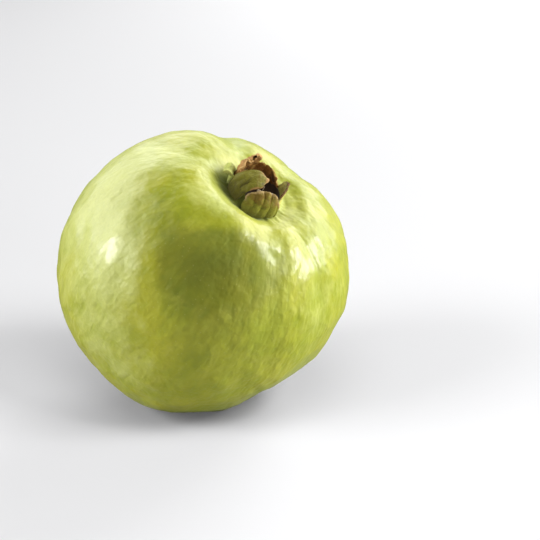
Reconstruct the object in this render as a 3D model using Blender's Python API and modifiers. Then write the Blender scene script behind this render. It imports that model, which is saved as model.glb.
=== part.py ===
"""A whole guava, as picked: ribbed fruit, dried flower crown and a stub of stalk.

Each piece is shaped upright about the fruit's own axis, with the crown on top and the
middle of the flesh at the origin. Lengths are millimetres times MM, angles are degrees.
An azimuth is counted about that axis from the side that the fruit leans towards. At the
end the fruit leans over and stands on its small flat spot, at Z = 0.
"""
import math

import bmesh
import bpy
from mathutils import Matrix, Vector, noise

MM = 0.001

# How the fruit stands.
LEAN = 35.5
HEADING = -40.5
FLAT_DEPTH = 1.3

# The turned body: (radius, height) from the floor of the cup, over its rim, down the
# outside and into the stem hollow.
CUP = [(0.0, 32.0), (3.4, 32.4), (5.2, 34.2), (5.9, 36.8)]
RIM = [(6.7, 38.6), (7.7, 38.2), (8.4, 36.9)]
BASIN = [(9.8, 36.3), (12.5, 37.0), (17.5, 38.3)]
FLANK = [(24.5, 36.6), (33.5, 30.0), (40.8, 19.5), (44.6, 5.5), (44.2, -9.0), (40.0, -22.0), (32.0, -32.0)]
STEM_HOLLOW = [(23.2, -37.5), (16.0, -38.8), (9.5, -36.6), (5.2, -32.4), (2.6, -30.6), (0.0, -30.4)]
BODY_LINE = CUP + RIM + BASIN + FLANK + STEM_HOLLOW
BODY_STEPS = 2
BODY_SIDES = 64

# Soft ribs: (azimuth, push outwards, spread). A negative push is a valley.
RIBS = [
    (5, -0.7, 9),
    (54, 0.3, 14),
    (100, -0.9, 13),
    (156, -2.0, 15),
    (210, -0.8, 14),
    (261, 0.6, 14),
    (304, 0.6, 14),
    (333, -0.8, 12),
]

# Swellings and flats: (angle from the crown, azimuth, push outwards, spread).
SWELLINGS = [
    (113, 2, -3.5, 28),
    (130, 264, -0.9, 30),
    (40, 86, -0.5, 15),
    (36, 120, -1.3, 18),
    (96, 212, 1.4, 26),
    (26, 291, 1.1, 10),
]

SEPAL_THICKNESS = 0.8
SEPAL_COLUMNS = 8
SEPAL_ROWS = 9


def bell(x):
    """A smooth hump, 1 at 0 and near 0 beyond 2."""
    return math.exp(-x * x)


def ease(start, end, x):
    """Rise smoothly from 0 at start to 1 at end."""
    t = min(max((x - start) / (end - start), 0.0), 1.0)
    return t * t * (3.0 - 2.0 * t)


def mix(a, b, t):
    return a + (b - a) * t


def on_line(points, t):
    """The point at t, from 0 to 1, on a smooth line through the points."""
    place = min(max(t, 0.0), 1.0) * (len(points) - 1)
    i = min(int(place), len(points) - 2)
    f = place - i
    b, c = Vector(points[i]), Vector(points[i + 1])
    a = Vector(points[i - 1]) if i > 0 else 2.0 * b - c
    d = Vector(points[i + 2]) if i + 2 < len(points) else 2.0 * c - b
    return 0.5 * (2.0 * b + (c - a) * f + (2.0 * a - 5.0 * b + 4.0 * c - d) * f * f
                  + (3.0 * b - a - 3.0 * c + d) * f ** 3)


def smooth_line(points, steps):
    count = (len(points) - 1) * steps
    return [on_line(points, k / count) for k in range(count + 1)]


def turn_between(a, b):
    """The angle from azimuth b to azimuth a, between -180 and 180."""
    return (a - b + 180.0) % 360.0 - 180.0


def material(name, colour, roughness):
    made = bpy.data.materials.new(name)
    made.use_nodes = True
    shader = made.node_tree.nodes["Principled BSDF"]
    shader.inputs["Base Color"].default_value = (*colour, 1.0)
    shader.inputs["Roughness"].default_value = roughness
    shader.inputs["Metallic"].default_value = 0.0
    made.diffuse_color = (*colour, 1.0)
    return made


def collection(name):
    made = bpy.data.collections.new(name)
    bpy.context.scene.collection.children.link(made)
    return made


def place(name, mesh, group, finish=None):
    made = bpy.data.objects.new(name, mesh)
    group.objects.link(made)
    if finish:
        mesh.materials.append(finish)
        mesh.shade_smooth()
    return made


def turned_mesh(name, line, sides):
    """Turn a (radius, height) line about Z and keep the result as a plain mesh."""
    outline = bpy.data.meshes.new(name + "_line")
    corners = [(radius * MM, 0.0, height * MM) for radius, height in line]
    outline.from_pydata(corners, [(i, i + 1) for i in range(len(corners) - 1)], [])
    lathe = bpy.data.objects.new(name + "_lathe", outline)
    bpy.context.scene.collection.objects.link(lathe)
    screw = lathe.modifiers.new("turn", "SCREW")
    screw.steps = sides
    screw.render_steps = sides
    screw.use_merge_vertices = True
    screw.merge_threshold = 0.00001
    solid = bpy.data.meshes.new_from_object(lathe.evaluated_get(bpy.context.evaluated_depsgraph_get()))
    solid.name = name
    bpy.data.objects.remove(lathe)
    bpy.data.meshes.remove(outline)
    return solid


def swollen(point):
    """Push a point of the turned body in or out by the ribs and swellings."""
    distance = point.length
    from_crown = math.degrees(point.angle(Vector((0.0, 0.0, 1.0))))
    azimuth = math.degrees(math.atan2(point.y, point.x))
    below_crown = ease(11, 34, from_crown)
    above_hollow = 1.0 - ease(160, 172, from_crown)
    rib_depth = below_crown * above_hollow * (1.0 + 0.6 * ease(130, 160, from_crown))
    push = sum(depth * rib_depth * bell(turn_between(azimuth, rib) / spread)
               for rib, depth, spread in RIBS)
    for tilt, heading, height, spread in SWELLINGS:
        middle = Matrix.Rotation(math.radians(heading), 3, "Z") @ Matrix.Rotation(
            math.radians(tilt), 3, "Y") @ Vector((0.0, 0.0, 1.0))
        away = math.degrees(point.angle(middle))
        push += height * bell(away / spread) * ease(13, 22, from_crown) * above_hollow
    return point * (1.0 + push * MM / distance)


def make_fruit(group, finish):
    mesh = turned_mesh("fruit", smooth_line(BODY_LINE, BODY_STEPS), BODY_SIDES)
    for vertex in mesh.vertices:
        vertex.co = swollen(vertex.co)
    return place("fruit", mesh, group, finish)


def make_sepal(name, group, finish, azimuth, half_width, path, tip=0.3, curl=0.0, sideways=0.0, crumple=0.3):
    """A leafy lobe of the crown, bent from a flat grid.

    Its middle follows path, (radius, height) from base to tip. tip is the width left at
    the end, curl folds its edges inwards, sideways slides its tip along the ring, and
    crumple is the depth of its creases.
    """
    mesh = bpy.data.meshes.new(name)
    grid = bmesh.new()
    bmesh.ops.create_grid(grid, x_segments=SEPAL_COLUMNS, y_segments=SEPAL_ROWS, size=1.0)
    seed = Vector((azimuth * 0.37, 0.0, 0.0))
    for vertex in grid.verts:
        across = vertex.co.x
        along = 0.5 + 0.5 * vertex.co.y
        radius, height = on_line(path, along)
        belly = mix(1.0 + 0.35 * math.sin(math.pi * min(along * 1.4, 1.0)), tip, ease(0.45, 1.0, along))
        side = across * half_width * belly
        wrap_radius = mix(7.0, 6.0 - curl, ease(0.1, 0.9, along))
        wrap = side / wrap_radius
        crease = crumple * ease(0.1, 0.7, along) * noise.noise(seed + Vector((side * 0.45, along * 3.0, 0.0)))
        outward = radius - wrap_radius * (1.0 - math.cos(wrap)) + crease
        tangent = wrap_radius * math.sin(wrap) + sideways * along * along
        vertex.co = Vector((outward, tangent, height + 0.5 * crease)) * MM
    bmesh.ops.rotate(grid, verts=grid.verts, matrix=Matrix.Rotation(math.radians(azimuth), 3, "Z"))
    grid.to_mesh(mesh)
    grid.free()
    made = place(name, mesh, group, finish)
    solidify = made.modifiers.new("thickness", "SOLIDIFY")
    solidify.thickness = SEPAL_THICKNESS * MM
    solidify.offset = 0.0
    return made


def make_sepals(group, green, dry):
    make_sepal("sepal_right", group, dry, 36, 2.9, [(6.9, 39.2), (7.5, 40.0), (8.2, 40.9), (8.8, 41.6)], tip=0.55)
    make_sepal("sepal_far", group, dry, 105, 3.3, [(6.9, 39.2), (6.9, 40.6), (6.5, 42.0), (6.2, 43.2)], tip=0.6)
    make_sepal("sepal_crumpled", group, dry, 178, 2.5, [(6.9, 39.2), (6.9, 41.2), (6.0, 43.6), (5.4, 45.6)],
               tip=0.7, crumple=0.9)
    make_sepal("sepal_folded", group, green, 260, 2.4, [(6.9, 39.2), (7.6, 41.2), (6.4, 43.8), (3.2, 44.9),
                                                       (0.6, 44.4)], tip=0.6, curl=1.0)
    make_sepal("sepal_front", group, green, 323, 3.1, [(6.9, 39.2), (7.6, 40.2), (7.2, 41.6), (5.9, 42.6)], tip=0.4)
    make_sepal("sepal_nub", group, green, 218, 0.9, [(8.9, 38.6), (9.6, 39.4), (9.9, 40.5), (9.2, 41.1)], tip=0.6)


def make_style(group, finish):
    line = [(0.0, 38.0), (0.45, 37.8), (0.6, 37.4), (0.4, 36.8), (0.35, 34.6), (0.6, 32.8), (0.0, 32.8)]
    return place("style", turned_mesh("style", line, 10), group, finish)


def make_stem_stub(group, finish):
    line = [(0.0, -30.8), (1.9, -30.8), (1.5, -32.5), (1.45, -36.0), (1.7, -38.2), (1.5, -38.8), (0.0, -38.8)]
    return place("stem_stub", turned_mesh("stem_stub", line, 14), group, finish)


def lean_and_stand(group, cutters):
    """Lean all pieces over, then cut the small flat spot level with the floor."""
    axis = bpy.data.objects.new("fruit_axis", None)
    group.objects.link(axis)
    pieces = [piece for piece in group.objects if piece.type == "MESH"]
    for piece in pieces:
        piece.parent = axis
    axis.rotation_euler = (0.0, math.radians(LEAN), math.radians(HEADING))
    turn = axis.rotation_euler.to_matrix()
    corners = [turn @ vertex.co for vertex in bpy.data.objects["fruit"].data.vertices]
    low = Vector([min(corner[k] for corner in corners) for k in range(3)])
    high = Vector([max(corner[k] for corner in corners) for k in range(3)])
    axis.location = (-0.5 * (low.x + high.x), -0.5 * (low.y + high.y), -low.z - FLAT_DEPTH * MM)

    block_size = 0.06
    bpy.ops.mesh.primitive_cube_add(size=block_size, location=(0.0, 0.0, -0.5 * block_size))
    block = bpy.context.object
    block.name = "floor_cutter"
    block.hide_render = True
    block.display_type = "WIRE"
    for owner in list(block.users_collection):
        owner.objects.unlink(block)
    cutters.objects.link(block)
    cut = bpy.data.objects["fruit"].modifiers.new("flat_spot", "BOOLEAN")
    cut.operation = "DIFFERENCE"
    cut.object = block


def build():
    for old in list(bpy.data.objects):
        bpy.data.objects.remove(old)
    guava = collection("guava")
    cutters = collection("cutters")
    skin = material("green_skin", (0.42, 0.45, 0.06), 0.35)
    green = material("green_sepal", (0.16, 0.17, 0.03), 0.6)
    dry = material("dry_sepal", (0.22, 0.09, 0.03), 0.7)
    wood = material("dry_stalk", (0.12, 0.07, 0.03), 0.8)
    make_fruit(guava, skin)
    make_sepals(guava, green, dry)
    make_style(guava, dry)
    make_stem_stub(guava, wood)
    lean_and_stand(guava, cutters)


build()
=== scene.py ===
import math

import bmesh
import bpy
import numpy as np
from mathutils import Matrix, Vector, noise


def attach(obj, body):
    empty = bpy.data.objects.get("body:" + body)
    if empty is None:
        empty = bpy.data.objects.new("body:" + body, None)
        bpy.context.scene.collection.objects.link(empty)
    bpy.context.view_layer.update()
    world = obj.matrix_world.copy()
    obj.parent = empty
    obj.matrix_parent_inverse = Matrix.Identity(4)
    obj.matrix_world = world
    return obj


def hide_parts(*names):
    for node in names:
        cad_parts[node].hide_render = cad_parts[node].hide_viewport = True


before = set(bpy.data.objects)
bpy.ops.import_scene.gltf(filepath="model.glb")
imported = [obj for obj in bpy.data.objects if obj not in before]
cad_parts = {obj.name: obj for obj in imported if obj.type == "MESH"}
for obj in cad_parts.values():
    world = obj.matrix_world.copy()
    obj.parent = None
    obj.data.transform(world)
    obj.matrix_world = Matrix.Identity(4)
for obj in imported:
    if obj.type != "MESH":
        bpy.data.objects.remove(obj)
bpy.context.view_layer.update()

# A whole guava lying at a slant: waxy ribbed skin, a dried flower crown and a stub of stalk.
# Pieces are shaped upright about the fruit's own axis, crown on top and the middle of the
# flesh at the origin, in millimetres; an azimuth is counted about that axis from the side
# that the fruit leans towards. The frame's style and stalk say where that axis really is.

MM = 0.001

# ---------------------------------------------------------------- design sizes

CUP = [(0.0, 32.0), (3.4, 32.4), (5.2, 34.2), (5.9, 36.8)]
RIM = [(6.7, 38.6), (7.7, 38.2), (8.4, 36.9)]
BASIN = [(9.8, 36.3), (12.5, 37.0), (17.5, 38.3)]
FLANK = [(24.5, 36.6), (33.5, 30.0), (40.8, 19.5), (44.6, 5.5), (44.2, -9.0), (40.0, -22.0), (32.0, -32.0)]
STEM_HOLLOW = [(23.2, -37.5), (16.0, -38.8), (9.5, -36.6), (5.2, -32.4), (2.6, -30.6), (0.0, -30.4)]
BODY_LINE = CUP + RIM + BASIN + FLANK + STEM_HOLLOW
SKIN_STEPS = 12
SKIN_SIDES = 320
STYLE_FOOT = 32.8

# Soft ribs, as in the solid fruit: azimuth, push outwards (a valley is below 0), spread.
RIBS = [
    (5, -0.7, 9),
    (54, 0.3, 14),
    (100, -0.9, 13),
    (156, -2.0, 15),
    (210, -0.8, 14),
    (261, 0.6, 14),
    (304, 0.6, 14),
    (333, -0.8, 12),
]

# Swellings and flats, as in the solid fruit: angle from the crown, azimuth, push outwards, spread.
SWELLINGS = [
    (113, 2, -3.5, 28),
    (130, 264, -0.9, 30),
    (40, 86, -0.5, 15),
    (36, 120, -1.3, 18),
    (96, 212, 1.4, 26),
    (26, 291, 1.1, 10),
]

# Painted light and shade on the skin, with some real tone: a deep patch painted where the front faces away
# from the lamps, pale patches painted where the side lamps fall, and a few made-up patches on the hidden
# side.
# Each: angle from the crown, azimuth, paleness (below 0 deeper, painted shade), spread.
PAINTED_LIGHT_AND_TONES = [
    (50, 290, -0.9, 16),  # heart of the deep patch in front
    (45, 315, -0.7, 14),  # its right end
    (45, 255, -0.3, 9),  # its tongue up to the left
    (75, 310, -0.1, 24),  # duller skin under it
    (30, 275, 0.4, 12),  # pale skin between it and the crown
    (70, 265, 0.4, 14),  # pale skin left of it
    (75, 235, 0.4, 30),  # left flank
    (100, 280, 0.3, 25),  # pale skin low in front
    (50, 215, 0.3, 22),  # left shoulder
    (55, 5, 0.2, 18),  # right flank
    (60, 150, -0.3, 22),  # the hidden side, made up
    (100, 120, 0.3, 30),
    (100, 60, -0.3, 25),
    (130, 190, 0.2, 25),
]

# The studio, in metres.
FLOOR_RADIUS = 1.3
FLOOR_DROP = 0.0001
LAMP_DISTANCE = 1.5


# ---------------------------------------------------------------- small sums

def bell(x):
    return np.exp(-x * x)


def ease(start, end, x):
    """Rise smoothly from 0 at start to 1 at end."""
    t = np.clip((x - start) / (end - start), 0.0, 1.0)
    return t * t * (3.0 - 2.0 * t)


def mix(a, b, t):
    return a + (b - a) * t


def on_line(points, t):
    """The point at t, from 0 to 1, on a smooth line through the points."""
    place = min(max(t, 0.0), 1.0) * (len(points) - 1)
    i = min(int(place), len(points) - 2)
    f = place - i
    b, c = np.array(points[i], float), np.array(points[i + 1], float)
    a = np.array(points[i - 1], float) if i > 0 else 2.0 * b - c
    d = np.array(points[i + 2], float) if i + 2 < len(points) else 2.0 * c - b
    return 0.5 * (2.0 * b + (c - a) * f + (2.0 * a - 5.0 * b + 4.0 * c - d) * f * f
                  + (3.0 * b - a - 3.0 * c + d) * f ** 3)


def smooth_line(points, steps):
    count = (len(points) - 1) * steps
    return np.array([on_line(points, k / count) for k in range(count + 1)])


def turn_between(a, b):
    return (a - b + 180.0) % 360.0 - 180.0


def degrees_from(directions, tilt, azimuth):
    """The angle from each direction to the one at this tilt from the crown and this azimuth."""
    t, a = math.radians(tilt), math.radians(azimuth)
    middle = np.array([math.sin(t) * math.cos(a), math.sin(t) * math.sin(a), math.cos(t)])
    return np.degrees(np.arccos(np.clip(directions @ middle, -1.0, 1.0)))


def lumps(points, size, offset=0.0):
    """Smooth noise of about one lump per size, at each point, between -1 and 1."""
    shift = Vector((offset, -offset, 0.5 * offset))
    return np.array([noise.noise(Vector(point) / size + shift) for point in points])


# ---------------------------------------------------------------- where the fruit is

def node_corners(name):
    return np.array([vertex.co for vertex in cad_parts[name].data.vertices])


def fruit_place():
    """Turn and shift from the upright fruit to the frame: the style and the stalk lie on its axis."""
    style, stalk = node_corners("style"), node_corners("stem_stub")
    axis = Vector(style.mean(0) - stalk.mean(0)).normalized()
    foot = min(Vector(corner).dot(axis) for corner in style)
    crown_end = Vector(style.mean(0))
    middle = crown_end + axis * (foot - crown_end.dot(axis) - STYLE_FOOT * MM)
    across = Vector((0.0, 0.0, 1.0)).cross(axis).normalized()
    downhill = across.cross(axis)
    turn = Matrix((downhill, across, axis)).transposed().to_4x4()
    return Matrix.Translation(middle) @ turn


PLACE = fruit_place()


def add_piece(name, mesh, finish, replaced=()):
    """Stand an upright mesh in the frame, in its finish, riding on the one body.

    Its corners move to where the fruit lies, and their upright places are kept for the finish.
    """
    upright = mesh.attributes.new("upright", "FLOAT_VECTOR", "POINT")
    upright.data.foreach_set("vector", np.array([vertex.co for vertex in mesh.vertices], np.float32).ravel())
    mesh.transform(PLACE)
    mesh.materials.append(finish)
    piece = bpy.data.objects.new(name, mesh)
    bpy.context.scene.collection.objects.link(piece)
    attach(piece, "root")
    if replaced:
        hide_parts(*replaced)
    return piece


def keep_value(mesh, name, values):
    """Store one number at each corner of the mesh, for its finish to read."""
    layer = mesh.attributes.new(name, "FLOAT", "POINT")
    layer.data.foreach_set("value", np.asarray(values, np.float32))


# ---------------------------------------------------------------- finishes

class Wire:
    """One output of a finish's node. Sums, differences and products of it add Math nodes."""

    def __init__(self, finish, socket):
        self.finish = finish
        self.socket = socket

    def work_out(self, operation, a, b):
        return self.finish.node("ShaderNodeMath", {"operation": operation}, {0: a, 1: b})

    def __add__(self, other):
        return self.work_out("ADD", self, other)

    def __radd__(self, other):
        return self.work_out("ADD", other, self)

    def __sub__(self, other):
        return self.work_out("SUBTRACT", self, other)

    def __rsub__(self, other):
        return self.work_out("SUBTRACT", other, self)

    def __mul__(self, other):
        return self.work_out("MULTIPLY", self, other)

    def __rmul__(self, other):
        return self.work_out("MULTIPLY", other, self)


class Finish:
    """A material and the few ways in which its nodes are laid."""

    def __init__(self, name):
        self.material = bpy.data.materials.new(name)
        self.material.use_nodes = True
        self.tree = self.material.node_tree
        self.shader = self.tree.nodes["Principled BSDF"]

    def node(self, kind, settings=None, inputs=None, output=0):
        """Add a node of a kind: its settings first, then the values or wires of its inputs."""
        made = self.tree.nodes.new(kind)
        for name, value in (settings or {}).items():
            setattr(made, name, value)
        for name, value in (inputs or {}).items():
            self.feed(made.inputs[name], value)
        return Wire(self, made.outputs[output])

    def feed(self, socket, value):
        if isinstance(value, Wire):
            self.tree.links.new(value.socket, socket)
        elif isinstance(value, tuple) and len(value) == 3 and socket.type == "RGBA":
            socket.default_value = (*value, 1.0)
        else:
            socket.default_value = value

    def set(self, **values):
        """Give the shader's own sockets their values or wires."""
        for name, value in values.items():
            self.feed(self.shader.inputs[name.replace("_", " ").title().replace("Ior", "IOR")], value)

    def place(self):
        return self.node("ShaderNodeAttribute", {"attribute_name": "upright"}, output="Vector")

    def stored(self, name):
        return self.node("ShaderNodeAttribute", {"attribute_name": name}, output="Fac")

    def lumps(self, place, size, detail=2.0, rough=0.5, warp=0.0):
        """Soft noise, 0 to 1, of about one lump per size in millimetres."""
        inputs = {"Vector": place, "Scale": 1.0 / (size * MM), "Detail": detail, "Roughness": rough,
                  "Distortion": warp}
        return self.node("ShaderNodeTexNoise", None, inputs, "Fac")

    def spots(self, place, size):
        """Distance from the middle of scattered cells, in cell widths."""
        inputs = {"Vector": place, "Scale": 1.0 / (size * MM)}
        return self.node("ShaderNodeTexVoronoi", {"feature": "F1"}, inputs, "Distance")

    def step(self, value, start, end):
        """Rise smoothly from 0 to 1 as value goes from start to end."""
        inputs = {"Value": value, "From Min": start, "From Max": end}
        return self.node("ShaderNodeMapRange", {"interpolation_type": "SMOOTHSTEP"}, inputs)

    def tint(self, share, a, b, way="MIX"):
        """Colour a turning into colour b by share."""
        return self.node("ShaderNodeMix", {"data_type": "RGBA", "blend_type": way}, {0: share, 6: a, 7: b}, 2)

    def vector(self, operation, a, b=(0.0, 0.0, 0.0)):
        return self.node("ShaderNodeVectorMath", {"operation": operation}, {0: a, 1: b})

    def bump(self, height, depth, under=None):
        """Raise the surface by height times depth in millimetres."""
        inputs = {"Height": height, "Distance": depth * MM, "Strength": 1.0}
        if under:
            inputs["Normal"] = under
        return self.node("ShaderNodeBump", None, inputs)


def skin_finish():
    """Waxy yellow-green skin: streaks down its length, soft mottling, pebbling and pores, with painted light
    and shade: paler where the side lamps fall, deeper olive in front and dark in the crevice at the sepals'
    feet.
    """
    finish = Finish("waxy green skin")
    place = finish.place()
    around = finish.vector("NORMALIZE", finish.vector("MULTIPLY", place, (1.0, 1.0, 0.0)))
    lengthwise = finish.vector("MULTIPLY", around, (0.030, 0.030, 0.0))
    streak_place = finish.vector("ADD", lengthwise, finish.vector("MULTIPLY", place, (0.5, 0.5, 0.5)))

    clouds = finish.lumps(place, 16.0, 3.0, 0.55, 0.4)
    patches = finish.lumps(place, 6.0, 3.0, 0.6, 0.3)
    from_crown = finish.stored("from_crown")
    on_flank = finish.step(from_crown, 18.0, 45.0)
    streaks = finish.lumps(streak_place, 2.6, 1.5, 0.5, 0.3)
    near_crown = finish.step(from_crown, 24.0, 11.0)
    in_cup = finish.step(from_crown, 11.4, 10.0)
    valley = finish.step(finish.stored("rib_push"), 0.2, -1.6)
    pores = finish.step(finish.spots(place, 1.6), 0.2, 0.05)
    grain = finish.lumps(place, 0.7, 2.0, 0.6)

    colour = finish.tint(finish.step(clouds, 0.35, 0.68), (0.29, 0.32, 0.006), (0.38, 0.38, 0.010))
    colour = finish.tint(finish.step(patches, 0.42, 0.75) * 0.35, colour, (0.43, 0.43, 0.04))
    colour = finish.tint(finish.step(streaks, 0.5, 0.72) * on_flank * 0.2, colour, (0.47, 0.46, 0.05))
    colour = finish.tint(finish.step(streaks, 0.48, 0.28) * on_flank * 0.2, colour, (0.26, 0.34, 0.02))
    colour = finish.tint(valley * 0.3, colour, (0.25, 0.34, 0.02))
    # Painted light and shade mixed with the skin's own mottling: paler where the side lamps fall, deeper
    # olive where the front faces away from them.
    tone_with_painted_light = finish.stored("painted_light_and_tone") + (patches - 0.5) * 0.4 + (streaks - 0.5) * on_flank * 0.25
    colour = finish.tint(finish.step(tone_with_painted_light, 0.06, 0.5) * 0.85, colour, (0.50, 0.535, 0.15))
    colour = finish.tint(finish.step(tone_with_painted_light, 0.0, -0.55), colour, (0.56, 0.58, 0.3), "MULTIPLY")
    colour = finish.tint(finish.step(tone_with_painted_light, -0.55, -1.1), colour, (0.80, 0.80, 0.5), "MULTIPLY")
    deep = finish.step(tone_with_painted_light, -0.15, -0.65)
    pale_crown = near_crown * finish.step(tone_with_painted_light, -0.5, -0.05) * 0.75
    colour = finish.tint(pale_crown, colour, (0.48, 0.52, 0.13))
    colour = finish.tint(pores * 0.14, colour, (0.62, 0.60, 0.22))
    colour = finish.tint(finish.step(grain, 0.35, 0.7) * 0.12, colour, (0.2, 0.25, 0.02))
    # Painted shade: the crevice round the sepals' feet is painted dark green, near black where it is deepest.
    crevice = finish.stored("crevice")
    colour = finish.tint(finish.step(crevice, 0.05, 0.9) * 0.92, colour, (0.10, 0.12, 0.006))
    colour = finish.tint(finish.step(crevice, 1.1, 1.9), colour, (0.014, 0.016, 0.001))
    colour = finish.tint(in_cup, colour, (0.035, 0.014, 0.004))

    pebbles = finish.lumps(place, 2.4, 1.0, 0.5, 0.2)
    fine = finish.lumps(place, 0.8, 1.0, 0.5)
    normal = finish.bump(pebbles, 0.36)
    normal = finish.bump(streaks * on_flank, 0.32, under=normal)
    normal = finish.bump(fine, 0.03, under=normal)
    normal = finish.bump(1.0 - pores, 0.015, under=normal)
    roughness = 0.44 + patches * 0.14 + finish.step(crevice, 0.05, 0.6) * 0.4 + deep * 0.3
    waxy = finish.step(crevice, 0.5, 0.1) * finish.step(tone_with_painted_light, -0.65, -0.15)
    coat = (finish.step(clouds, 0.2, 0.8) * 0.15 + 0.3) * waxy
    finish.set(base_color=colour, roughness=roughness, normal=normal, specular_ior_level=0.44)
    finish.set(coat_weight=coat, coat_roughness=0.18)
    finish.set(sheen_weight=0.16, sheen_roughness=0.45, sheen_tint=(0.93, 1.0, 0.62))
    finish.set(subsurface_weight=0.12, subsurface_radius=(0.004, 0.004, 0.0012), subsurface_scale=1.0)
    return finish.material


def sepal_finish(name, fresh, dry, edge, dryness, foot=0.5):
    """A withering sepal: fresh at its base, drier further up, with a corky edge and painted shade in its
    creases.

    dryness shifts how much of it has dried, and foot is how much painted shade darkens its base and creases.
    """
    finish = Finish(name)
    place = finish.place()
    blotches = finish.lumps(place, 2.2, 4.0, 0.65, 0.5)
    fibres = finish.lumps(place, 0.5, 3.0, 0.6, 0.2)
    rim = finish.stored("rim")
    tip = finish.stored("along")
    crease = finish.stored("crease")

    drying = finish.step(blotches + tip * 0.6 + dryness, 0.78, 1.12)
    colour = finish.tint(finish.step(fibres, 0.3, 0.7) * 0.5, fresh, tuple(1.5 * c for c in fresh))
    colour = finish.tint(drying, colour, dry)
    colour = finish.tint(finish.step(blotches, 0.42, 0.30) * 0.5, colour, tuple(0.45 * c for c in dry))
    # Painted shade: the creases and the base where the sepal meets the skin are darkened.
    painted_crease_shade = finish.step(crease, -0.1, -0.75) * (0.4 + 0.5 * foot)
    colour = finish.tint(painted_crease_shade, colour, tuple(0.25 * c for c in dry))
    painted_foot_shade = finish.step(tip + blotches * 0.2, 0.55, 0.15) * foot
    colour = finish.tint(painted_foot_shade, colour, tuple(0.12 * c for c in dry))
    colour = finish.tint(finish.step(rim + blotches * 0.25, 0.97, 1.08), colour, edge)
    normal = finish.bump(blotches, 0.5)
    normal = finish.bump(fibres, 0.14, under=normal)
    finish.set(base_color=colour, roughness=0.5 + blotches * 0.3, normal=normal, specular_ior_level=0.25)
    return finish.material


def dry_finish(name, dark, pale, size):
    """Dry woody tissue: cracks and fibres in two tones."""
    finish = Finish(name)
    place = finish.place()
    blotches = finish.lumps(place, size, 4.0, 0.65, 0.6)
    fibres = finish.lumps(finish.vector("MULTIPLY", place, (1.0, 1.0, 0.18)), size * 0.25, 3.0, 0.6)
    colour = finish.tint(finish.step(blotches, 0.35, 0.65), dark, pale)
    colour = finish.tint(finish.step(fibres, 0.5, 0.3) * 0.7, colour, tuple(0.4 * c for c in dark))
    normal = finish.bump(fibres, 0.25)
    finish.set(base_color=colour, roughness=0.65 + blotches * 0.25, normal=normal)
    return finish.material


# ---------------------------------------------------------------- fruit

def body_push(points):
    """How far the ribs and the swellings push each point of the turned body outwards, and its angles."""
    distance = np.linalg.norm(points, axis=1)
    from_crown = np.degrees(np.arccos(np.clip(points[:, 2] / distance, -1.0, 1.0)))
    azimuth = np.degrees(np.arctan2(points[:, 1], points[:, 0]))
    above_hollow = 1.0 - ease(160, 172, from_crown)
    rib_depth = ease(11, 34, from_crown) * above_hollow * (1.0 + 0.6 * ease(130, 160, from_crown))
    ribs = sum(depth * rib_depth * bell(turn_between(azimuth, rib) / spread) for rib, depth, spread in RIBS)
    swell = np.zeros_like(ribs)
    directions = points / distance[:, None]
    for tilt, heading, height, spread in SWELLINGS:
        hump = bell(degrees_from(directions, tilt, heading) / spread)
        swell += height * hump * ease(13, 22, from_crown) * above_hollow
    return ribs, swell, from_crown, azimuth


def painted_light_and_tone(points):
    """How much paler (above 0) or deeper (below 0) the skin is painted at each point: painted light and
    shade, with some real tone.
    """
    directions = points / np.linalg.norm(points, axis=1)[:, None]
    tone_with_painted_light = np.zeros(len(points))
    for tilt, heading, amount, spread in PAINTED_LIGHT_AND_TONES:
        tone_with_painted_light += amount * bell(degrees_from(directions, tilt, heading) / spread)
    return tone_with_painted_light


def fine_relief(points, from_crown, azimuth):
    """Lumps, lengthwise wrinkles and pebbles on the skin, in millimetres outwards."""
    turn = np.radians(azimuth)
    around = np.stack([np.cos(turn), np.sin(turn), from_crown * 0.012], 1)
    on_flank = ease(14, 30, from_crown) * (1.0 - ease(150, 168, from_crown))
    far_down = ease(20, 40, from_crown)
    broad = (0.55 * lumps(points, 14.0) + 0.30 * lumps(points, 8.0, 41.0)) * on_flank
    wide_folds = 0.34 * lumps(around, 0.17, 17.0) * on_flank * far_down
    strength = 0.5 + 0.7 * ease(-0.3, 0.5, lumps(points, 22.0, 5.0))
    lengthwise = 0.07 * lumps(around, 0.085, 7.0) * on_flank * far_down * strength
    dimples = 0.50 * np.abs(lumps(points, 7.0, 11.0)) + 0.22 * np.abs(lumps(points, 3.4, 3.0))
    pebbles = (dimples - 0.2) * on_flank * strength
    near_crown = ease(12.0, 14, from_crown) * (1.0 - ease(18, 26, from_crown))
    puckers = near_crown * (0.20 * lumps(points, 3.6, 21.0) + 0.16 * lumps(around, 0.12, 13.0))
    by_stalk = ease(148, 158, from_crown)
    puckers += 0.4 * by_stalk * lumps(around, 0.14, 31.0)
    crease = -0.22 * bell(turn_between(azimuth, 4.0 + 0.1 * (from_crown - 38)) / 1.1)
    crease = crease * ease(25, 28, from_crown) * (1.0 - ease(44, 48, from_crown))
    gully = -1.5 * bell((from_crown - 16.2) / 2.4) * bell(turn_between(azimuth, 308) / 26)
    by_front_sepal = bell((from_crown - 17.0) / 2.6) * bell(turn_between(azimuth, 342) / 26)
    wrinkles = 0.45 * by_front_sepal * lumps(around, 0.07, 51.0)
    return broad + wide_folds + lengthwise + pebbles + puckers + crease + gully + wrinkles


def crevice_shade(from_crown, azimuth):
    """How much painted shade each point gets in the crevice round the sepals' feet, deepest in front and to
    the left.
    """
    ring = (1.0 - ease(14.5, 20.5, from_crown)) * (0.35 + 0.75 * bell(turn_between(azimuth, 270) / 58))
    beside_nub = 0.55 * bell((from_crown - 20.0) / 3.6) * bell(turn_between(azimuth, 236) / 26)
    return ring + beside_nub + bell((from_crown - 16.4) / 2.3) * bell(turn_between(azimuth, 306) / 24)


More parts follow.
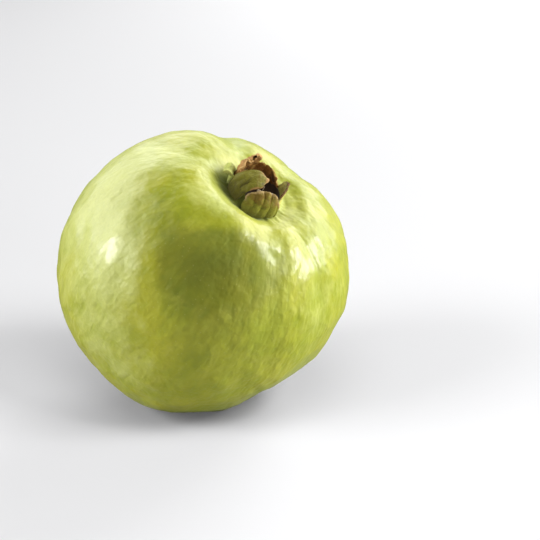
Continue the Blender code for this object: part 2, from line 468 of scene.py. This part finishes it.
def rest_on_floor(points):
    """Flatten what would lie below the floor, with a rounded edge to the flat spot."""
    softness = 0.35 * MM
    world = np.array(PLACE)
    placed = points * MM @ world[:3, :3].T + world[:3, 3]
    placed[:, 2] = 0.5 * (placed[:, 2] + np.sqrt(placed[:, 2] ** 2 + softness ** 2))
    back = np.array(PLACE.inverted())
    return placed @ back[:3, :3].T + back[:3, 3]


def skin_mesh():
    line = smooth_line(BODY_LINE, SKIN_STEPS)[1:-1]
    turn = np.linspace(0.0, 2.0 * math.pi, SKIN_SIDES, endpoint=False)
    radius, height = line[:, :1], line[:, 1:]
    rings = np.stack([radius * np.cos(turn), radius * np.sin(turn), height + 0.0 * turn], 2).reshape(-1, 3)
    points = np.vstack([rings, [(0.0, 0.0, BODY_LINE[0][1])], [(0.0, 0.0, BODY_LINE[-1][1])]])
    ribs, swell, from_crown, azimuth = body_push(points)
    push = ribs + swell + fine_relief(points, from_crown, azimuth)
    tone_with_painted_light = painted_light_and_tone(points)
    points = points * (1.0 + push / np.linalg.norm(points, axis=1))[:, None]
    sides = [(k, (k + 1) % SKIN_SIDES) for k in range(SKIN_SIDES)]
    faces = []
    for ring in range(len(line) - 1):
        a, b = ring * SKIN_SIDES, (ring + 1) * SKIN_SIDES
        faces += [(a + k, b + k, b + after, a + after) for k, after in sides]
    last = (len(line) - 1) * SKIN_SIDES
    cup_middle, hollow_middle = len(rings), len(rings) + 1
    faces += [(cup_middle, k, after) for k, after in sides]
    faces += [(hollow_middle, last + after, last + k) for k, after in sides]
    mesh = bpy.data.meshes.new("fruit_skin")
    mesh.from_pydata(rest_on_floor(points).tolist(), [], faces)
    keep_value(mesh, "from_crown", from_crown)
    keep_value(mesh, "rib_push", ribs)
    keep_value(mesh, "painted_light_and_tone", tone_with_painted_light)
    keep_value(mesh, "crevice", crevice_shade(from_crown, azimuth))
    mesh.shade_smooth()
    return mesh


# ---------------------------------------------------------------- sepals

def sepal_mesh(name, path, widths, azimuth, seed, wrap, folds, crumple, sideways=0.0, ragged=0.08,
               round_tip=0.5):
    """A lobe of the crown, bent from a flat grid.

    path is its middle line, (radius, height), and widths its half width, from base to
    tip. wrap is how strongly it is bowed across at base and tip, folds is the depth of its
    lengthwise ridges, crumple that of its creases, sideways slides its tip round the ring,
    ragged is how uneven its edge is and round_tip how far its corners are cut back.
    """
    columns, rows = 40, 44
    sheet = bmesh.new()
    bmesh.ops.create_grid(sheet, x_segments=columns, y_segments=rows, size=1.0)
    layers = {key: sheet.verts.layers.float.new(key) for key in ("rim", "along", "crease", "thin")}
    start = Vector((azimuth * 0.37, azimuth * 0.11, seed))
    for vertex in sheet.verts:
        across = vertex.co.x
        up_leaf = 0.5 + 0.5 * vertex.co.y
        along = up_leaf * (1.0 - round_tip * 0.25 * across * across * up_leaf ** 3)
        along *= 1.0 + ragged * up_leaf ** 3 * noise.noise(start + Vector((2.2 * across, 7.0, 1.0)))
        radius, height = on_line(path, along)
        ahead = on_line(path, min(along + 0.01, 1.0)) - on_line(path, max(along - 0.01, 0.0))
        run = ahead / np.linalg.norm(ahead)
        face = np.array([run[1], -run[0]])
        half = float(on_line([(w,) for w in widths], along)[0])
        nibble = Vector((2.0 * math.copysign(1.0, across), 5.0 * along, 3.0))
        uneven = 1.0 + ragged * along * noise.noise(start + nibble)
        side = across * half * uneven
        bow = mix(wrap[0], wrap[1], ease(0.1, 0.9, along))
        lift = -(1.0 - math.cos(side * bow)) / bow
        slide = math.sin(side * bow) / bow
        here = Vector((side * 0.35, along * 2.6, 0.0))
        wrinkle = noise.noise(start + here * 1.3) + 0.5 * noise.noise(start + here * 3.1)
        wrinkle += 0.25 * noise.noise(start + here * 6.7)
        ridge = math.sin(side * 2.4 + 1.3 * noise.noise(start + Vector((0.0, along * 2.0, 9.0))))
        fade = float(ease(0.05, 0.45, along))
        lift += crumple * fade * wrinkle + folds * (0.5 + 0.5 * fade) * ridge
        slide += 0.3 * crumple * fade * noise.noise(start + here * 2.0 + Vector((5.0, 5.0, 5.0)))
        outward = radius + face[0] * lift
        vertex.co = Vector((outward, slide + sideways * along * along, height + face[1] * lift))
        edge = max(abs(across) * float(ease(0.2, 0.55, up_leaf)), up_leaf)
        vertex[layers["rim"]] = edge
        vertex[layers["along"]] = up_leaf
        vertex[layers["crease"]] = wrinkle
        vertex[layers["thin"]] = 1.0 - 0.5 * edge ** 4
    bmesh.ops.rotate(sheet, verts=sheet.verts, matrix=Matrix.Rotation(math.radians(azimuth), 3, "Z"))
    bmesh.ops.scale(sheet, verts=sheet.verts, vec=(MM, MM, MM))
    mesh = bpy.data.meshes.new(name)
    sheet.to_mesh(mesh)
    sheet.free()
    mesh.shade_smooth()
    return mesh


def thicken(piece, thickness):
    """Give a sepal its thickness, thinner at the rim, and soften it."""
    mesh = piece.data
    weights = piece.vertex_groups.new(name="thin")
    for vertex, value in zip(mesh.vertices, mesh.attributes["thin"].data):
        weights.add([vertex.index], max(value.value, 0.05), "REPLACE")
    solidify = piece.modifiers.new("thickness", "SOLIDIFY")
    solidify.thickness = thickness * MM
    solidify.offset = 0.0
    solidify.vertex_group = "thin"
    solidify.thickness_vertex_group = 0.1
    soften = piece.modifiers.new("soften", "SUBSURF")
    soften.levels = 1
    soften.render_levels = 1


def add_sepals():
    # fresh, dry and edge colours, then dryness and the painted shade at the foot
    olive = sepal_finish("olive sepal", (0.13, 0.12, 0.006), (0.15, 0.10, 0.010), (0.30, 0.17, 0.05),
                         -0.1)
    ridged = sepal_finish("ridged sepal", (0.19, 0.19, 0.012), (0.16, 0.10, 0.007), (0.36, 0.25, 0.09),
                          0.08)
    brown = sepal_finish("dry sepal", (0.32, 0.16, 0.035), (0.40, 0.21, 0.06), (0.50, 0.30, 0.10),
                         0.1, 0.95)
    amber = sepal_finish("amber sepal", (0.14, 0.055, 0.004), (0.26, 0.11, 0.015), (0.42, 0.24, 0.06),
                         0.0, 0.95)
    straw = sepal_finish("straw sepal", (0.46, 0.43, 0.09), (0.42, 0.34, 0.10), (0.15, 0.08, 0.02),
                         -0.1, 0.3)
    pale = sepal_finish("pale curled sepal", (0.42, 0.46, 0.10), (0.46, 0.48, 0.13), (0.30, 0.30, 0.06),
                        -0.3, 0.6)

    def add(name, finish, slot, thickness, **shape):
        piece = add_piece(name + "_leaf", sepal_mesh(name, **shape), finish, (name,))
        thicken(piece, thickness)

    add("sepal_front", ridged, "green_sepal", 1.2, azimuth=324, seed=2.0,
        path=[(9.4, 34.2), (9.6, 36.2), (9.5, 38.2), (8.9, 40.2), (7.6, 42.0), (6.2, 43.0)],
        widths=[5.2, 5.6, 5.9, 5.9, 5.4, 4.4], wrap=(0.10, 0.11), folds=0.26, crumple=0.5, ragged=0.16,
        round_tip=0.9)
    add("sepal_folded", olive, "green_sepal", 1.2, azimuth=257, seed=4.0,
        path=[(8.6, 35.0), (8.8, 37.2), (8.6, 39.4), (7.8, 41.4), (6.0, 43.0), (3.8, 43.8), (1.6, 44.0),
              (-0.2, 43.4)],
        widths=[2.4, 2.9, 3.3, 3.6, 3.8, 3.7, 3.4, 2.8], wrap=(0.12, 0.12), folds=0.12, crumple=0.5,
        sideways=1.2, ragged=0.14, round_tip=0.9)
    add("sepal_crumpled", brown, "dry_sepal", 1.1, azimuth=186, seed=7.0,
        path=[(7.8, 35.8), (7.8, 38.0), (7.6, 40.2), (7.3, 42.2), (6.9, 43.8), (6.3, 45.0), (5.6, 45.6)],
        widths=[4.2, 4.8, 5.2, 5.2, 4.6, 3.6, 2.2], wrap=(0.12, 0.07), folds=0.34, crumple=0.95,
        sideways=-0.8, ragged=0.3)
    add("sepal_far", amber, "dry_sepal", 1.0, azimuth=116, seed=1.0,
        path=[(7.8, 35.8), (7.3, 37.4), (6.8, 39.0), (6.4, 40.6), (6.3, 41.8), (6.6, 42.8)],
        widths=[5.4, 5.6, 5.4, 4.6, 3.2, 1.6], wrap=(0.12, 0.08), folds=0.22, crumple=0.7, sideways=1.4,
        ragged=0.3)
    add("sepal_right", straw, "dry_sepal", 1.0, azimuth=46, seed=3.0,
        path=[(8.3, 35.2), (7.9, 36.8), (7.7, 38.4), (7.8, 39.8), (8.2, 41.1), (8.8, 42.2)],
        widths=[5.0, 4.6, 4.0, 3.2, 2.1, 0.8], wrap=(0.12, 0.10), folds=0.10, crumple=0.5, sideways=2.8,
        ragged=0.2)
    add("sepal_nub", pale, "green_sepal", 1.3, azimuth=217, seed=5.0,
        path=[(8.4, 35.6), (8.7, 37.0), (8.9, 38.4), (9.5, 39.6), (10.5, 39.9), (11.1, 39.0), (10.7, 38.2)],
        widths=[2.0, 2.2, 2.4, 2.5, 2.4, 2.1, 1.5], wrap=(0.12, 0.16), folds=0.04, crumple=0.12,
        round_tip=1.0)


# ---------------------------------------------------------------- dried flower and stalk

def turned(name, line, sides, steps, ridge=0.0, bend=0.0):
    """Turn a (radius, height) line about the axis, with lengthwise ridges and a slow bend."""
    points = smooth_line(line, steps)
    solid = bmesh.new()
    rings = []
    for radius, height in points[1:-1]:
        ring = []
        for k in range(sides):
            angle = 2.0 * math.pi * k / sides
            here = Vector((2.2 * math.cos(angle), 2.2 * math.sin(angle), height * 0.25))
            rough = 1.0 + ridge * noise.noise(here)
            sway = bend * (height - line[0][1]) ** 2
            ring.append(solid.verts.new(Vector((radius * rough * math.cos(angle) + sway,
                                                radius * rough * math.sin(angle), height)) * MM))
        rings.append(ring)
    for lower, upper in zip(rings, rings[1:]):
        for k in range(sides):
            solid.faces.new((lower[k], upper[k], upper[(k + 1) % sides], lower[(k + 1) % sides]))
    for ring, end in ((rings[0], points[0]), (rings[-1], points[-1])):
        sway = bend * (end[1] - line[0][1]) ** 2
        middle = solid.verts.new(Vector((sway, 0.0, end[1])) * MM)
        for k in range(sides):
            solid.faces.new((ring[k], ring[(k + 1) % sides], middle))
    bmesh.ops.recalc_face_normals(solid, faces=solid.faces)
    mesh = bpy.data.meshes.new(name)
    solid.to_mesh(mesh)
    solid.free()
    mesh.shade_smooth()
    return mesh


def stamen_mesh(count):
    """The dried stamens, a ring of thin bent threads with small heads inside the cup."""
    foot, top, first_top = 33.6, 36.6, 39.6
    turn_to_next = 137.5
    bends = 5
    bundle = bpy.data.curves.new("stamens", "CURVE")
    bundle.dimensions = "3D"
    bundle.bevel_depth = 0.13 * MM
    bundle.bevel_resolution = 2
    bundle.use_fill_caps = True
    for k in range(count):
        turn = math.radians(22.0 + turn_to_next * k)
        sway = 0.5 * noise.noise(Vector((k * 1.7, 3.0, 0.0)))
        tall = first_top if k == 0 else top + 1.2 * noise.noise(Vector((k * 2.3, 0.0, 5.0)))
        thread = bundle.splines.new("POLY")
        thread.points.add(bends)
        for place, point in enumerate(thread.points):
            t = place / bends
            radius = 4.9 - 1.0 * t + 0.7 * t * t
            angle = turn + sway * t * t
            height = foot + (tall - foot) * t
            point.co = (radius * math.cos(angle) * MM, radius * math.sin(angle) * MM, height * MM, 1.0)
            point.radius = 1.0 + 1.6 * float(bell((t - 0.9) / 0.12))
    guide = bpy.data.objects.new("stamen guide", bundle)
    mesh = bpy.data.meshes.new_from_object(guide)
    bpy.data.objects.remove(guide)
    mesh.name = "dried_stamens"
    mesh.materials.clear()
    mesh.shade_smooth()
    return mesh


def add_style_and_stalk():
    dry = dry_finish("withered style", (0.16, 0.09, 0.04), (0.45, 0.36, 0.22), 0.8)
    wood = dry_finish("dry stalk", (0.14, 0.09, 0.04), (0.30, 0.24, 0.10), 1.6)
    style_line = [(0.0, 32.2), (0.7, 32.3), (0.4, 34.0), (0.35, 36.0), (0.45, 37.4), (0.7, 38.0), (0.0, 38.3)]
    style = turned("withered_style", style_line, 16, 6, 0.3, 0.03)
    add_piece("withered_style", style, dry, ("style",))
    threads = dry_finish("dried stamens", (0.20, 0.12, 0.05), (0.62, 0.52, 0.36), 0.6)
    add_piece("dried_stamens", stamen_mesh(14), threads)
    stalk_line = [(0.0, -38.8), (1.5, -38.7), (1.75, -38.2), (1.5, -36.6), (1.45, -34.0), (1.6, -32.0),
                  (2.2, -30.6), (0.0, -30.0)]
    add_piece("stalk", turned("stalk", stalk_line, 48, 8, 0.18), wood, ("stem_stub",))


# ---------------------------------------------------------------- studio

def lamp(kind, name, middle, azimuth, height, power, lit, **settings):
    """A lamp aimed at the middle from an azimuth, front to right, and a height, both in degrees.

    lit is the collection of the only things that it lights.
    """
    a, e = math.radians(azimuth), math.radians(height)
    away = Vector((math.sin(a) * math.cos(e), -math.cos(a) * math.cos(e), math.sin(e)))
    data = bpy.data.lights.new(name, kind)
    data.energy = power
    for key, value in settings.items():
        setattr(data, key, value)
    light = bpy.data.objects.new(name, data)
    bpy.context.scene.collection.objects.link(light)
    light.location = middle + LAMP_DISTANCE * away
    light.rotation_euler = (-away).to_track_quat("-Z", "Y").to_euler()
    light.light_linking.receiver_collection = lit


def softboxes(middle, lit, rows):
    """One softbox for each row: name, azimuth, height, power, width and how tall it is."""
    for name, azimuth, height, power, width, tall in rows:
        lamp("AREA", name, middle, azimuth, height, power, lit, shape="RECTANGLE", size=width, size_y=tall)


def collect(name, things):
    group = bpy.data.collections.new(name)
    for thing in things:
        group.objects.link(thing)
    return group


def add_floor():
    floor_finish = Finish("pale floor")
    floor_finish.set(base_color=(0.80, 0.80, 0.81), roughness=0.8)
    bpy.ops.mesh.primitive_circle_add(vertices=128, radius=FLOOR_RADIUS, fill_type="NGON",
                                      location=(0.0, 0.0, -FLOOR_DROP))
    floor = bpy.context.object
    floor.name = "floor"
    floor.data.materials.append(floor_finish.material)
    # The waxy skin doesn't mirror the pale floor, which would turn its underside milky.
    floor.visible_glossy = False
    return floor


def add_world():
    """A near-white surround that is only seen behind the floor and lights nothing."""
    world = bpy.data.worlds.new("studio")
    world.use_nodes = True
    background = world.node_tree.nodes["Background"].inputs
    background["Color"].default_value = (1.0, 1.0, 1.0, 1.0)
    background["Strength"].default_value = 0.88
    world.cycles_visibility.diffuse = False
    world.cycles_visibility.glossy = False
    bpy.context.scene.world = world


def add_studio(middle, pieces):
    floor = add_floor()
    add_world()
    fruit_only, floor_only = collect("fruit only", pieces), collect("floor only", [floor])
    softboxes(middle, floor_only, [
        ("floor_right", 60.0, 40.0, 15.0, 0.8, 0.6),
        ("floor_left", -60.0, 30.0, 12.0, 0.8, 0.6),
        ("floor_front_low", 30.0, 10.0, 10.0, 0.6, 0.4),
        ("floor_rear", 150.0, 20.0, 15.0, 0.8, 0.6),
    ])
    lamp("SUN", "floor_sky", middle, 0.0, 60.0, 0.9, floor_only, angle=math.radians(40.0))
    softboxes(middle, fruit_only, [
        ("left_box", -84.0, 16.0, 15.0, 0.45, 0.45),
        ("left_high_box", -84.0, 34.0, 16.0, 2.0, 1.3),
        ("left_rear_box", -128.0, 30.0, 9.0, 1.4, 1.1),
        ("right_box", 89.0, 19.0, 26.0, 0.6, 0.6),
        ("right_high_box", 88.0, 38.0, 9.0, 2.0, 1.3),
        ("right_rear_box", 122.0, 26.0, 16.0, 1.4, 1.1),
        ("rear_box", 168.0, 38.0, 15.0, 1.8, 1.2),
        ("right_front_box", 46.0, 33.0, 2.2, 0.34, 0.34),
        ("front_fill_box", 46.0, 10.0, 2.4, 1.6, 1.2),
    ])


def add_camera(middle):
    """In front of the fruit and a little above it, looking down, with the fruit left of the middle."""
    look_down = math.radians(18.0)
    distance = 0.469
    aside = 0.0206
    raised = 0.0008
    back = Vector((0.0, -math.cos(look_down), math.sin(look_down)))
    data = bpy.data.cameras.new("camera")
    data.lens = 100.0
    data.sensor_width = 36.0
    camera = bpy.data.objects.new("camera", data)
    bpy.context.scene.collection.objects.link(camera)
    camera.location = middle + back * distance + Vector((aside, 0.0, raised))
    camera.rotation_euler = (math.radians(90.0) - look_down, 0.0, 0.0)
    bpy.context.scene.camera = camera


# ---------------------------------------------------------------- the guava

skin = add_piece("fruit_skin", skin_mesh(), skin_finish(), ("fruit",))
# Light that bounces off the green skin doesn't tint the floor.
skin.visible_diffuse = False
add_sepals()
add_style_and_stalk()
pieces = [thing for thing in bpy.context.scene.objects if thing.type == "MESH"]
fruit_middle = PLACE.translation.copy()
add_studio(fruit_middle, pieces)
add_camera(fruit_middle)
bpy.context.scene.view_settings.view_transform = "Standard"
